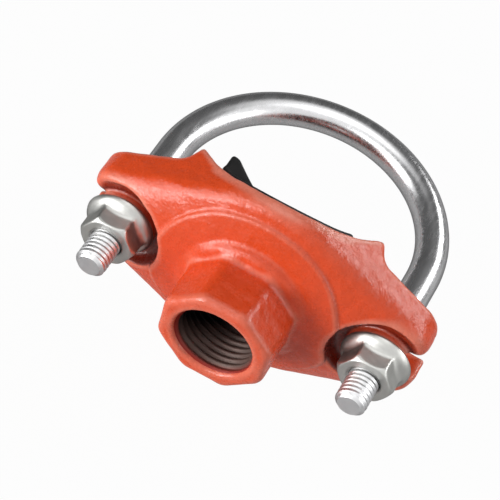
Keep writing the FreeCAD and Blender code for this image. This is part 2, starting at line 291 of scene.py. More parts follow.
# Rounding of the saddle's edges and fillets, in millimetres
EAR_ROUND = 1.3
LOBE_INNER_ROUND = 0.6
LOBE_TOP_ROUND = 1.1
LOBE_FOOT_FILLET = 2.2
NOSE_ROUND = 1.6
RIM_ROUND = 2.4
DISC_ROUND = 0.7
DISC_FILLET = 0.5
POCKET_FLOOR_FILLET = 2.2
POCKET_RIM_ROUND = 1.2
PAD_ROUND = 0.7
PAD_FILLET = 1.0
BACK_ROUND = 0.9
SLOT_ROUND = 1.0
HIDDEN_ROUND = 0.2

# Distance between the crown's sections, and how far the middle one reaches past the hub
CROWN_STEP = 24.0
CROWN_EXTRA = 1.6

# Height over an ear's back at which a nut pad's solid starts
PAD_ROOT = 3.0


def plan_field(x, z, c):
    """Plan of the saddle: round hub, tangent flanks and ears."""
    ax, az = np.abs(x), np.abs(z)
    shoulder_z = (c.hub_r - c.shoulder_x * math.sin(c.slope)) / math.cos(c.slope)
    nx, nz = shoulder_z - c.end_half, c.end_x - c.shoulder_x
    corner = ((ax - c.end_x) * nx + (az - c.end_half) * nz) / math.hypot(nx, nz)
    plan = blend_max(flank_field(x, z, c.hub_r, c.slope), corner, EAR_ROUND)
    return blend_max(plan, ax - c.end_x, EAR_ROUND)


def back_field(x, d, c):
    """Back of the saddle: pipe arc, leaning lobes and the flat backs of the ears."""
    ax = np.abs(x)
    pipe = PIPE_R - np.hypot(x, d)
    arc_end = math.sqrt(PIPE_R ** 2 - c.arc_end_x ** 2)
    fall = (c.lobe_top - arc_end) / (c.lobe_x - c.arc_end_x)
    top = arc_end + fall * np.clip(ax - c.arc_end_x, 0.0, None) - d
    lean_x, lean_d = c.foot_x - c.lobe_x, c.foot_height - c.lobe_top
    outer = ((ax - c.lobe_x) * lean_d - (d - c.lobe_top) * lean_x) / math.hypot(lean_x, lean_d)
    ear = c.foot_height + (c.ear_back - c.foot_height) * (ax - c.foot_x) / (c.end_x - c.foot_x) - d
    inside = blend_max(pipe, top, LOBE_INNER_ROUND)
    return blend_max(inside, blend_min(outer, ear, LOBE_FOOT_FILLET), LOBE_TOP_ROUND)


def crown_field(x, d, z, c):
    """Arched front of the saddle, lofted through three sections from the hub to past the ears."""
    sin, cos = math.sin(c.slope), math.cos(c.slope)
    half0 = c.hub_r + CROWN_EXTRA
    half1 = (c.hub_r - CROWN_STEP * sin) / cos
    half2 = (c.hub_r - 2.0 * CROWN_STEP * sin) / cos
    half = through_three(x, CROWN_STEP, half0, half1, half2)
    rise = through_three(x, CROWN_STEP, c.crown_rise, c.crown_rise, c.ear_rise)
    arc_r = (half ** 2 + rise ** 2) / (2.0 * rise)
    # Past the plan the arc is held at half its radius, so that the root stays real
    over_centre = np.sqrt(np.clip(arc_r ** 2 - z ** 2, (0.5 * arc_r) ** 2, None))
    return (d - c.rim - rise + arc_r - over_centre) * over_centre / arc_r


def saddle_body_field(x, d, z, c):
    """Saddle with its ears, lobes, crown, disc, nut pockets, pads and slots."""
    ax = np.abs(x)
    front = (d - c.ear_tip) * math.cos(c.ear_slope) - (c.end_x - ax) * math.sin(c.ear_slope)
    crown = crown_field(x, d, z, c)
    body = blend_max(plan_field(x, z, c), blend_max(crown, front, NOSE_ROUND), RIM_ROUND)

    disc = blend_max(np.hypot(x, z) - c.disc_r, crown - c.disc_rise, DISC_ROUND)
    body = blend_min(body, blend_max(disc, c.rim - d, HIDDEN_ROUND), DISC_FILLET)
    leg = np.hypot(ax - LEG_X, z)
    pocket = blend_max(leg - c.pocket_r, c.rim - d, POCKET_FLOOR_FILLET)
    body = blend_max(body, -pocket, POCKET_RIM_ROUND)
    pad = blend_max(leg - c.pad_r, d - c.pad_top, PAD_ROUND)
    pad = blend_max(pad, c.ear_back + PAD_ROOT - d, HIDDEN_ROUND)
    body = blend_min(body, pad, PAD_FILLET)
    body = blend_max(body, back_field(x, d, c), BACK_ROUND)
    slot = np.where(ax > LEG_X, np.abs(z), leg) - c.slot_half
    return blend_max(body, -slot, SLOT_ROUND)


# Rounding of the collar and the outlet boss, in millimetres
COLLAR_EDGE_ROUND = 1.4
COLLAR_TOP_ROUND = 1.3
BOSS_CORNER_ROUND = 1.3
BOSS_TOP_ROUND = 2.0
BOSS_FILLET = 1.7


def outlet_field(x, d, z, c):
    """Stepped collar and the eight-sided outlet boss."""
    ax, az = np.abs(x), np.abs(z)
    hub = np.hypot(x, z)
    run, lift = c.collar_r - c.collar_top_r, c.collar_top - c.collar_root
    edge = ((hub - c.collar_r) * lift + (d - c.collar_root) * run) / math.hypot(run, lift)
    collar = blend_max(hub - c.collar_r, edge, COLLAR_EDGE_ROUND)
    collar = blend_max(collar, d - c.collar_top, COLLAR_TOP_ROUND)
    sides = blend_max(ax, az, BOSS_CORNER_ROUND)
    sides = blend_max(sides, (ax + az) * math.sqrt(0.5), BOSS_CORNER_ROUND)
    boss = blend_max(sides - c.boss_flats / 2.0, d - c.boss_top, BOSS_TOP_ROUND)
    return blend_max(blend_min(collar, boss, BOSS_FILLET), c.rim - d, HIDDEN_ROUND)


# Rounding of the gasket's seat, in millimetres
SEAT_CORNER_ROUND = 1.0
SEAT_FLOOR_FILLET = 0.5
GROOVE_FLOOR_FILLET = 0.8
GROOVE_RIM_ROUND = 0.5


def seat_field(x, d, z, g, slope, gap):
    """Shallow pad seat and deep ring groove; the gap shrinks it for the gasket."""
    pipe = np.hypot(x, d) - PIPE_R + gap
    hub = np.hypot(x, z)
    flanks = flank_field(x, z, g.seat_r - gap, slope)
    plan = blend_max(flanks, np.abs(x) - g.seat_x + gap, SEAT_CORNER_ROUND)
    pad = blend_max(plan, pipe - g.seat_depth, SEAT_FLOOR_FILLET)
    groove = blend_max(hub - g.groove_r + gap, pipe - g.groove_depth, GROOVE_FLOOR_FILLET)
    return blend_min(pad, groove, GROOVE_RIM_ROUND)


# Rounding where the casting's parts meet and its holes open, in millimetres
COLLAR_FILLET = 0.8
SEAT_RIM_ROUND = 0.6
LOCATOR_TIP_ROUND = 0.8
LOCATOR_FILLET = 0.6
BORE_STEP_ROUND = 0.3
BORE_RIM_ROUND = 1.5

# Length of the waterway's widening, and how far the locating collar reaches past the rim's height
TAPER_RUN = 1.6
LOCATOR_ROOT = 0.5

# Swell of the cast skin, and the radius round the outlet's bore within which it is even
SKIN_SWELL = 0.05
EVEN_R = 11.0


def casting_field(c, g):
    """Distance field of the whole casting, in millimetres."""

    def field(x, y, z):
        d = -y
        hub = np.hypot(x, z)
        body = blend_min(saddle_body_field(x, d, z, c), outlet_field(x, d, z, c), COLLAR_FILLET)
        body = blend_max(body, -seat_field(x, d, z, g, c.slope, 0.0), SEAT_RIM_ROUND)
        locator = blend_max(hub - c.locator_r, c.locator_tip - d, LOCATOR_TIP_ROUND)
        locator = blend_max(locator, d - c.rim - LOCATOR_ROOT, HIDDEN_ROUND)
        body = blend_min(body, locator, LOCATOR_FILLET)
        threaded = blend_max(hub - c.bore_r, c.bore_floor - d, BORE_STEP_ROUND)
        widening = (c.locator_bore_r - c.waterway_r) / TAPER_RUN
        waterway = hub - c.waterway_r - np.clip(c.rim + TAPER_RUN - d, 0.0, TAPER_RUN) * widening
        body = blend_max(body, -blend_min(threaded, waterway, BORE_STEP_ROUND), BORE_RIM_ROUND)
        swell = SKIN_SWELL * (1.0 + unevenness(x, d, z))
        return body + swell * np.clip(hub - EVEN_R, 0.0, 1.0)

    return field


# Rounding of the gasket's edges, in millimetres
GASKET_HOLE_ROUND = 0.8
GASKET_FACE_ROUND = 0.9
LEAF_POINT_ROUND = 0.9
LEAF_END_ROUND = 0.8
LEAF_SIDE_ROUND = 0.9
LEAF_BACK_ROUND = 0.5
LEAF_FILLET = 0.8

# Width of a leaf's point, and the bow of its long edge
LEAF_POINT = 1.8
LEAF_BOW = 0.6


def leaf_field(x, d, z, g):
    """The two pointed leaves, at opposite corners of the gasket."""
    side = np.where(z > 0.0, 1.0, -1.0)
    lx = x * side + g.seat_x - g.gap
    run = g.leaf_length - LEAF_POINT
    lean = (g.leaf_root - g.leaf_tip) / run
    bow = LEAF_BOW * np.sin(np.pi * np.clip((lx - LEAF_POINT) / run, 0.0, 1.0))
    long_edge = (g.leaf_tip + lean * (lx - LEAF_POINT) + bow - d) / math.hypot(1.0, lean)
    leaf = blend_max(long_edge, g.leaf_tip - d, LEAF_POINT_ROUND)
    half = g.leaf_length / 2.0
    leaf = blend_max(leaf, np.abs(lx - half) - half, LEAF_END_ROUND)
    middle_z = g.leaf_far_z - g.leaf_thick / 2.0
    leaf = blend_max(leaf, np.abs(z * side - middle_z) - g.leaf_thick / 2.0, LEAF_SIDE_ROUND)
    return blend_max(leaf, np.hypot(x, d) - PIPE_R - g.seat_depth + g.gap, LEAF_BACK_ROUND)


def gasket_field(c, g):
    """Distance field of the gasket, in millimetres."""

    def field(x, y, z):
        d = -y
        body = seat_field(x, d, z, g, c.slope, g.gap)
        body = blend_max(body, g.inner_r - np.hypot(x, z), GASKET_HOLE_ROUND)
        body = blend_max(body, PIPE_R - g.proud - np.hypot(x, d), GASKET_FACE_ROUND)
        return blend_min(body, leaf_field(x, d, z, g), LEAF_FILLET)

    return field


# Rounding of a nut's edges, in millimetres
HEXAGON_ROUND = 0.45
BEVEL_ROUND = 0.35
NUT_TOP_ROUND = 0.3
FLANGE_ROUND = 1.3
HEXAGON_FILLET = 0.9
NUT_SEAT_ROUND = 0.5
NUT_BORE_ROUND = 0.4

# How far the flange reaches up into the hexagon, and the depth of the bore's chamfer
FLANGE_LAP = 0.5
BORE_CHAMFER = 0.5

# Half the height of the room that a nut's flange takes up
FLANGE_ROOM_HALF = 1.5


def nut_field(n, leg_x):
    """Distance field of one flange nut, in millimetres."""

    def field(x, y, z):
        d = -y - n.seat
        hx = x - leg_x
        out = np.hypot(hx, z)
        flat_r = n.flats / 2.0
        cos, sin = math.cos(math.radians(30.0)), 0.5
        hexagon = blend_max(np.abs(z), np.abs(hx * cos + z * sin), HEXAGON_ROUND)
        hexagon = blend_max(hexagon, np.abs(hx * cos - z * sin), HEXAGON_ROUND) - flat_r
        lean = (flat_r / cos - flat_r) / n.bevel
        bevel = (out - flat_r - (n.height - d) * lean) / math.hypot(1.0, lean)
        prism = blend_max(hexagon, bevel, BEVEL_ROUND)
        prism = blend_max(prism, d - n.height, NUT_TOP_ROUND)
        run, lift = n.flange_r - flat_r, n.cone - n.rim
        cone = ((out - n.flange_r) * lift + (d - n.rim) * run) / math.hypot(run, lift)
        flange = blend_max(out - n.flange_r, cone, FLANGE_ROUND)
        flange = blend_max(flange, d - n.cone - FLANGE_LAP, NUT_TOP_ROUND)
        nut = blend_max(blend_min(prism, flange, HEXAGON_FILLET), -d, NUT_SEAT_ROUND)
        bore = out - n.bore_r - np.clip(d - n.height + BORE_CHAMFER, 0.0, None)
        return blend_max(nut, -bore, NUT_BORE_ROUND)

    return field


def nut_room(c):
    """Distance field of the room that the two nuts' flanges take up."""

    def field(x, y, z):
        out = np.hypot(np.abs(x) - LEG_X, z)
        return np.maximum(out - FLANGE_R, np.abs(c.pad_top + FLANGE_ROOM_HALF + y) - FLANGE_ROOM_HALF)

    return field


# How far from the skin a recess, an edge or a neighbour still reaches the painted shade or highlight,
# in millimetres
RECESS_REACH = 1.2
EDGE_REACH = 1.3
GAP_REACH = 3.0

# Half the stretch over which a field's slope is taken, and the least slope squared to divide by
PROBE = 0.05
LEAST_SLOPE = 0.2


def grid_step(sizes):
    return sizes.mesh_step * 1.0


def skin(name, field, low, high, step, neighbour=None):
    """Mesh of the surface where a field is zero, with its recesses, edges and gaps kept on it."""
    # The grid reaches past the box by more than a cell on every side
    axes = [np.arange(a - 1.5 * step, b + 2.5 * step, step) for a, b in zip(low, high)]
    grid = np.meshgrid(*axes, indexing="ij")
    values = field(*grid)
    cell = values[:-1, :-1, :-1].shape
    offsets = [(i, j, k) for i in (0, 1) for j in (0, 1) for k in (0, 1)]
    corner = {
        o: values[o[0]:o[0] + cell[0], o[1]:o[1] + cell[1], o[2]:o[2] + cell[2]] for o in offsets
    }
    count = sum((corner[o] < 0.0).astype(np.int8) for o in offsets)
    active = np.nonzero((count > 0) & (count < 8))
    number = np.full(cell, -1, dtype=np.int64)
    number[active] = np.arange(len(active[0]))
    base = np.stack([axes[i][active[i]] for i in range(3)], axis=1)
    total = np.zeros_like(base)
    hits = np.zeros(len(base))
    for a in offsets:
        for axis in range(3):
            if a[axis]:
                continue
            b = tuple(1 if i == axis else a[i] for i in range(3))
            va, vb = corner[a][active], corner[b][active]
            crossed = (va < 0.0) != (vb < 0.0)
            t = np.where(crossed, va / np.where(va == vb, 1.0, va - vb), 0.0)
            point = base + np.array(a) * step
            point[:, axis] += t * step
            total += point * crossed[:, None]
            hits += crossed
    points = total / hits[:, None]

    quads = []
    inside = values < 0.0
    for axis in range(3):
        u, v = (axis + 1) % 3, (axis + 2) % 3
        start = [slice(1, n) for n in cell]
        start[axis] = slice(0, cell[axis])
        end = list(start)
        end[axis] = slice(1, cell[axis] + 1)
        first, second = inside[tuple(start)], inside[tuple(end)]
        at = np.stack(np.nonzero(first != second), axis=1)
        leaving = first[tuple(at.T)]
        at += np.array([0 if i == axis else 1 for i in range(3)])
        ring = []
        for du, dv in ((1, 1), (0, 1), (0, 0), (1, 0)):
            c = at.copy()
            c[:, u] -= du
            c[:, v] -= dv
            ring.append(number[tuple(c.T)])
        ring = np.stack(ring, axis=1)
        ring[~leaving] = ring[~leaving][:, ::-1]
        quads.append(ring)
    quads = np.concatenate(quads)

    def slope_at(p):
        g = np.empty_like(p)
        for i in range(3):
            shift = np.zeros(3)
            shift[i] = PROBE
            g[:, i] = field(*(p + shift).T) - field(*(p - shift).T)
        return g / (2.0 * PROBE)

    # Each round pulls the points closer to the true surface, by half a cell at most
    for _ in range(3):
        g = slope_at(points)
        move = field(*points.T) / np.clip((g ** 2).sum(axis=1), LEAST_SLOPE, None)
        points -= g * np.clip(move, -0.5 * step, 0.5 * step)[:, None]
    points = np.clip(points, low, high)
    g = slope_at(points)
    normal = g / np.linalg.norm(g, axis=1)[:, None]

    # The recess and gap masks place painted shade, and the edge mask places a painted highlight
    shades = {
        "recess": 1.0 - field(*(points + normal * RECESS_REACH).T) / RECESS_REACH,
        "edge": 1.0 + field(*(points - normal * EDGE_REACH).T) / EDGE_REACH,
    }
    if neighbour:
        shades["gap"] = 1.0 - neighbour(*(points + normal * GAP_REACH).T) / GAP_REACH

    mesh = bpy.data.meshes.new(name)
    mesh.from_pydata((points * MM).tolist(), [], quads.tolist())
    mesh.update()
    for label, data in shades.items():
        shade = mesh.attributes.new(label, "FLOAT", "POINT")
        shade.data.foreach_set("value", np.clip(data, 0.0, 1.0).astype(np.float32))
    mesh.shade_smooth()
    return mesh


def add_piece(name, mesh, body, slot_name, material, *nodes):
    """Puts a finished mesh in the scene on its body, with its finish."""
    piece = bpy.data.objects.new(name, mesh)
    bpy.context.scene.collection.objects.link(piece)
    mesh.materials.clear()
    mesh.materials.append(material)
    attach(piece, body)
    if nodes:
        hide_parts(*nodes)


def calc(tree, operation, *values, clamp=False):
    """One arithmetic node; each value is a number or another node's output."""
    node = tree.nodes.new("ShaderNodeMath")
    node.operation = operation
    node.use_clamp = clamp
    for socket, value in zip(node.inputs, values):
        if isinstance(value, (int, float)):
            socket.default_value = value
        else:
            tree.links.new(value, socket)
    return node.outputs[0]


def mesh_tree(name, sizes):
    """Empty geometry tree with named sizes, a material and a geometry output."""
    tree = bpy.data.node_groups.new(name, "GeometryNodeTree")
    for label, kind, default in sizes:
        socket = tree.interface.new_socket(label, in_out="INPUT", socket_type=kind)
        socket.default_value = default
    tree.interface.new_socket("Material", in_out="INPUT", socket_type="NodeSocketMaterial")
    tree.interface.new_socket("Geometry", in_out="OUTPUT", socket_type="NodeSocketGeometry")
    return tree, tree.nodes.new("NodeGroupInput").outputs, tree.nodes.new("NodeGroupOutput")


def end_tree(tree, geometry, material, group_out):
    """Ends a tree with its instances realized, its faces smooth and its material set."""
    realize = tree.nodes.new("GeometryNodeRealizeInstances")
    smooth = tree.nodes.new("GeometryNodeSetShadeSmooth")
    finish = tree.nodes.new("GeometryNodeSetMaterial")
    tree.links.new(geometry, realize.inputs[0])
    tree.links.new(realize.outputs[0], smooth.inputs[0])
    tree.links.new(smooth.outputs[0], finish.inputs["Geometry"])
    tree.links.new(material, finish.inputs["Material"])
    tree.links.new(finish.outputs[0], group_out.inputs[0])


# Distance in millimetres under which two points of a thread or bar are one
WELD = 0.0005

# Share of half a pitch at which a thread's root starts, and the share that its flank takes
ROOT_FROM = 0.80
FLANK_SHARE = 0.66


def thread_tree():
    """Screw thread round Y: a rolled-up grid whose radius follows a helix."""
    real, whole = "NodeSocketFloat", "NodeSocketInt"
    tree, size, out = mesh_tree(
        "screw_thread",
        [
            ("Length", real, 24.0), ("Pitch", real, 1.25), ("Crest radius", real, 3.93),
            ("Root radius", real, 3.25), ("Start radius", real, 3.0), ("Start run", real, 0.9),
            ("End radius", real, 4.2), ("End run", real, 1.5), ("Around", whole, 48),
            ("Along", whole, 200),
        ],
    )
    grid = tree.nodes.new("GeometryNodeMeshGrid")
    grid.inputs["Size X"].default_value = 1.0
    grid.inputs["Size Y"].default_value = 1.0
    tree.links.new(size["Around"], grid.inputs["Vertices X"])
    tree.links.new(size["Along"], grid.inputs["Vertices Y"])
    place = tree.nodes.new("GeometryNodeInputPosition")
    split = tree.nodes.new("ShaderNodeSeparateXYZ")
    tree.links.new(place.outputs[0], split.inputs[0])
    u = calc(tree, "ADD", split.outputs["X"], 0.5)
    v = calc(tree, "ADD", split.outputs["Y"], 0.5)
    s = calc(tree, "MULTIPLY", v, size["Length"])
    phase = calc(tree, "FRACT", calc(tree, "ADD", calc(tree, "DIVIDE", s, size["Pitch"]), u))
    saw = calc(tree, "ABSOLUTE", calc(tree, "MULTIPLY_ADD", phase, 2.0, -1.0))
    ridge = calc(tree, "DIVIDE", calc(tree, "SUBTRACT", ROOT_FROM, saw), FLANK_SHARE, clamp=True)
    deep = calc(tree, "SUBTRACT", size["Crest radius"], size["Root radius"])
    radius = calc(tree, "MULTIPLY_ADD", ridge, deep, size["Root radius"])
    for end_r, run, away in (
        (size["Start radius"], size["Start run"], s),
        (size["End radius"], size["End run"], calc(tree, "SUBTRACT", size["Length"], s)),
    ):
        share_in = calc(tree, "DIVIDE", away, run, clamp=True)
        radius = calc(tree, "MULTIPLY_ADD", calc(tree, "SUBTRACT", radius, end_r), share_in, end_r)
    turn = calc(tree, "MULTIPLY", u, 2.0 * math.pi)
    joined = tree.nodes.new("ShaderNodeCombineXYZ")
    tree.links.new(calc(tree, "MULTIPLY", radius, calc(tree, "COSINE", turn)), joined.inputs["X"])
    tree.links.new(s, joined.inputs["Y"])
    tree.links.new(calc(tree, "MULTIPLY", radius, calc(tree, "SINE", turn)), joined.inputs["Z"])
    moved = tree.nodes.new("GeometryNodeSetPosition")
    tree.links.new(grid.outputs["Mesh"], moved.inputs["Geometry"])
    tree.links.new(joined.outputs[0], moved.inputs["Position"])
    merged = tree.nodes.new("GeometryNodeMergeByDistance")
    merged.inputs["Distance"].default_value = WELD
    tree.links.new(moved.outputs[0], merged.inputs["Geometry"])
    end_tree(tree, merged.outputs[0], size["Material"], out)
    return tree


def bar_tree():
    """Round bar that follows a U: two straight legs and a half circle."""
    real, whole = "NodeSocketFloat", "NodeSocketInt"
    tree, size, out = mesh_tree(
        "bent_bar",
        [
            ("Bend radius", real, 34.35), ("Leg length", real, 20.0), ("Bar radius", real, 4.2),
            ("Around", whole, 48), ("Along", whole, 180),
        ],
    )
    line = tree.nodes.new("GeometryNodeCurvePrimitiveLine")
    line.inputs["End"].default_value = (0.0, 1.0, 0.0)
    even = tree.nodes.new("GeometryNodeResampleCurve")
    tree.links.new(line.outputs[0], even.inputs["Curve"])
    tree.links.new(size["Along"], even.inputs["Count"])
    along = tree.nodes.new("GeometryNodeSplineParameter").outputs["Factor"]
    arc = calc(tree, "MULTIPLY", size["Bend radius"], math.pi)
    whole_run = calc(tree, "MULTIPLY_ADD", size["Leg length"], 2.0, arc)
    s = calc(tree, "MULTIPLY", along, whole_run)
    past = calc(tree, "SUBTRACT", s, size["Leg length"])
    turn = calc(tree, "MULTIPLY", calc(tree, "DIVIDE", past, arc, clamp=True), math.pi)
    first = calc(tree, "MAXIMUM", calc(tree, "MULTIPLY", past, -1.0), 0.0)
    second = calc(tree, "MAXIMUM", calc(tree, "SUBTRACT", past, arc), 0.0)
    leftward = calc(tree, "MULTIPLY", size["Bend radius"], -1.0)
    x = calc(tree, "MULTIPLY", calc(tree, "COSINE", turn), leftward)
    y = calc(tree, "MULTIPLY", calc(tree, "SINE", turn), size["Bend radius"])
    y = calc(tree, "SUBTRACT", calc(tree, "SUBTRACT", y, first), second)
    joined = tree.nodes.new("ShaderNodeCombineXYZ")
    tree.links.new(x, joined.inputs["X"])
    tree.links.new(y, joined.inputs["Y"])
    moved = tree.nodes.new("GeometryNodeSetPosition")
    tree.links.new(even.outputs[0], moved.inputs["Geometry"])
    tree.links.new(joined.outputs[0], moved.inputs["Position"])
    ring = tree.nodes.new("GeometryNodeCurvePrimitiveCircle")
    tree.links.new(size["Around"], ring.inputs["Resolution"])
    tree.links.new(size["Bar radius"], ring.inputs["Radius"])
    tube = tree.nodes.new("GeometryNodeCurveToMesh")
    tree.links.new(moved.outputs[0], tube.inputs["Curve"])
    tree.links.new(ring.outputs[0], tube.inputs["Profile Curve"])
    end_tree(tree, tube.outputs[0], size["Material"], out)
    return tree


def grown(tree, material, **sizes):
    """Plain mesh of a geometry tree for the given sizes, in millimetres."""
    carrier = bpy.data.objects.new("carrier", bpy.data.meshes.new("carrier"))
    bpy.context.scene.collection.objects.link(carrier)
    modifier = carrier.modifiers.new("grow", "NODES")
    modifier.node_group = tree
    for item in tree.interface.items_tree:
        if item.in_out != "INPUT":
            continue
        key = item.name.lower().replace(" ", "_")
        if key == "material":
            modifier[item.identifier] = material
        elif key in sizes:
            modifier[item.identifier] = sizes[key]
    bpy.context.view_layer.update()
    evaluated = carrier.evaluated_get(bpy.context.evaluated_depsgraph_get())
    mesh = bpy.data.meshes.new_from_object(evaluated)
    bpy.data.objects.remove(carrier)
    if not mesh.vertices:
        raise RuntimeError("the tree " + tree.name + " made no mesh")
    return mesh


def close_with_wall(piece, wall_r):
    """Closes a tube round Y by a second wall at a radius, joined to it at both ends."""
    rims = [e for e in piece.edges if e.is_boundary]
    grown_parts = bmesh.ops.extrude_edge_only(piece, edges=rims)["geom"]
    for vert in [part for part in grown_parts if isinstance(part, bmesh.types.BMVert)]:
        out = math.hypot(vert.co.x, vert.co.z)
        vert.co.x *= wall_r / out
        vert.co.z *= wall_r / out
    bmesh.ops.bridge_loops(piece, edges=[e for e in piece.edges if e.is_boundary])
    bmesh.ops.recalc_face_normals(piece, faces=piece.faces)


def close_with_caps(piece):
    """Closes both ends of a tube by flat caps with crisp edges."""
    rims = [e for e in piece.edges if e.is_boundary]
    caps = bmesh.ops.holes_fill(piece, edges=rims)["faces"]
    bmesh.ops.recalc_face_normals(piece, faces=piece.faces)
    for face in caps:
        face.smooth = False
        for e in face.edges:
            e.smooth = False


def gather(name, parts):
    """One mesh from several tubes: each is (mesh, place, wall), in millimetres.

    The wall is the radius of a second wall that closes the tube, or 0 for caps at its ends.
    """
    whole = bmesh.new()
    for mesh, place, wall_r in parts:
        piece = bmesh.new()
        piece.from_mesh(mesh)
        bmesh.ops.remove_doubles(piece, verts=piece.verts, dist=WELD)
        if wall_r:
            close_with_wall(piece, wall_r)
        else:
            close_with_caps(piece)
        bmesh.ops.translate(piece, verts=piece.verts, vec=place)
        bmesh.ops.scale(piece, verts=piece.verts, vec=(MM, MM, MM))
        step = bpy.data.meshes.new("step")
        piece.to_mesh(step)
        piece.free()
        whole.from_mesh(step)
        bpy.data.meshes.remove(step)
    joined = bpy.data.meshes.new(name)
    whole.to_mesh(joined)
    whole.free()
    return joined


def material_start(name):
    """New material with its main shader."""
    material = bpy.data.materials.new(name)
    material.use_nodes = True
    return material, material.node_tree, material.node_tree.nodes["Principled BSDF"]


def noise(tree, scale, detail=3.0, stretch=(1.0, 1.0, 1.0)):
    """Noise on the piece's own coordinates, with features about 1/scale metres wide."""
    coords = tree.nodes.new("ShaderNodeTexCoord")
    mapping = tree.nodes.new("ShaderNodeMapping")
    mapping.inputs["Scale"].default_value = stretch
    texture = tree.nodes.new("ShaderNodeTexNoise")
    texture.inputs["Scale"].default_value = scale
    texture.inputs["Detail"].default_value = detail
    tree.links.new(coords.outputs["Object"], mapping.inputs["Vector"])
    tree.links.new(mapping.outputs[0], texture.inputs["Vector"])
    return texture.outputs["Fac"]


def axes_of(tree, coordinates):
    """X, Y and Z of a point on the piece ("Object") or of a direction in the studio ("Generated")."""
    coords = tree.nodes.new("ShaderNodeTexCoord")
    split = tree.nodes.new("ShaderNodeSeparateXYZ")
    tree.links.new(coords.outputs[coordinates], split.inputs[0])
    return split.outputs


def spread(tree, value, over, out=(0.0, 1.0)):
    """Value that runs over one range moved to another, held at the ends."""
    node = tree.nodes.new("ShaderNodeMapRange")
    tree.links.new(value, node.inputs["Value"])
    for label, number in zip(("From Min", "From Max", "To Min", "To Max"), (*over, *out)):
        node.inputs[label].default_value = number
    return node.outputs[0]


def mixed(tree, share_in, a, b):
    """Colour mixed from two; each is a colour or another node's output."""
    node = tree.nodes.new("ShaderNodeMix")
    node.data_type = "RGBA"
    tree.links.new(share_in, node.inputs["Factor"])
    colours = [s for s in node.inputs if s.type == "RGBA"]
    for socket, value in zip(colours, (a, b)):
        if isinstance(value, bpy.types.NodeSocket):
            tree.links.new(value, socket)
        else:
            socket.default_value = (value[0], value[1], value[2], 1.0)
    return [s for s in node.outputs if s.type == "RGBA"][0]


def bumped(tree, shader, *layers):
    """Stacks bump layers: each is (height, depth in metres)."""
    last = None
    for height, depth in layers:
        node = tree.nodes.new("ShaderNodeBump")
        node.inputs["Distance"].default_value = depth
        tree.links.new(height, node.inputs["Height"])
        if last is not None:
            tree.links.new(last, node.inputs["Normal"])
        last = node.outputs[0]
    tree.links.new(last, shader.inputs["Normal"])


def attribute(tree, name):
    """A value kept on the mesh."""
    node = tree.nodes.new("ShaderNodeAttribute")
    node.attribute_name = name
    return node.outputs["Fac"]


def enamel(c):
    """Orange-red enamel over a cast surface, with painted shade in corners and gaps and a painted
    highlight on edges.
    """
    material, tree, shader = material_start("orange_red_enamel")
    blotches = spread(tree, noise(tree, 260.0), (0.35, 0.65), (0.0, 0.22))
    base = mixed(tree, blotches, c.paint, [v * 0.72 for v in c.paint])
    for label, over, most, tint in (
        # Painted shade in corners and creases
        ("recess", (0.25, 0.9), 0.85, c.painted_corner_shade),
        # Painted highlight on convex edges, partly thin enamel
        ("edge", (0.10, 0.55), 0.55, c.paint_edge),
        # Painted shade in the gap by a nut's flange
        ("gap", (0.25, 0.9), 0.9, c.paint_gap),
    ):
        base = mixed(tree, spread(tree, attribute(tree, label), over, (0.0, most)), base, tint)
    tree.links.new(base, shader.inputs["Base Color"])
    rough = spread(tree, noise(tree, 700.0), (0.3, 0.7), (c.gloss - 0.07, c.gloss + 0.10))
    tree.links.new(rough, shader.inputs["Roughness"])
    shader.inputs["Coat Weight"].default_value = 0.12
    shader.inputs["Coat Roughness"].default_value = 0.22
    orange_peel, grain = noise(tree, 420.0, 2.0), noise(tree, 1500.0)
    bumped(tree, shader, (orange_peel, 0.00026), (grain, 0.00008))
    return material


# Depths below the outlet's face in millimetres between which the enamel ends and the painted shade in
# the bore deepens
ENAMEL_ENDS = (0.8, 2.6)
BORE_SHADE_DEEPENS = (2.8, 9.8)

# How much farther out the painted shade comes on the bore's left wall, for each millimetre across the
# bore
BORE_SHADE_LEAN = 0.6


def machined_thread(c):
    """Bare machined iron: enamel ran over the first thread, and painted shade darkens and dulls the
    deep threads and the left wall.
    """
    material, tree, shader = material_start("machined_iron")
    place = axes_of(tree, "Object")
    painted_at = [(depth - c.boss_top) * MM for depth in ENAMEL_ENDS]
    bore_shade_at = [(depth - c.boss_top) * MM for depth in BORE_SHADE_DEEPENS]
    painted = spread(tree, place["Y"], painted_at, (1.0, 0.0))
    across = calc(tree, "SUBTRACT", place["X"], place["Z"])
    # Painted shade: near black deep in the bore and farther out on its left wall, where shade falls
    painted_bore_shade = spread(tree, calc(tree, "MULTIPLY_ADD", across, -BORE_SHADE_LEAN, place["Y"]), bore_shade_at)
    wash = spread(tree, noise(tree, 500.0), (0.35, 0.7), (0.10, 0.45))
    base = mixed(tree, wash, (0.10, 0.065, 0.055), (0.14, 0.065, 0.048))
    base = mixed(tree, painted_bore_shade, base, (0.006, 0.006, 0.007))
    # The enamel run over the first thread takes the painted corner shade
    tree.links.new(mixed(tree, painted, base, c.painted_corner_shade), shader.inputs["Base Color"])
    for label, share_in, out in (
        ("Metallic", painted, (0.2, 0.0)),
        ("Specular IOR Level", painted_bore_shade, (0.3, 0.05)),
        ("Roughness", painted_bore_shade, (0.45, 1.0)),
    ):
        tree.links.new(spread(tree, share_in, (0.0, 1.0), out), shader.inputs[label])
    bumped(tree, shader, (noise(tree, 2200.0, 2.0), 0.00003))
    return material


# Roughness that the dull part of a zinc-plated piece has over the bright part
DULLNESS = 0.14


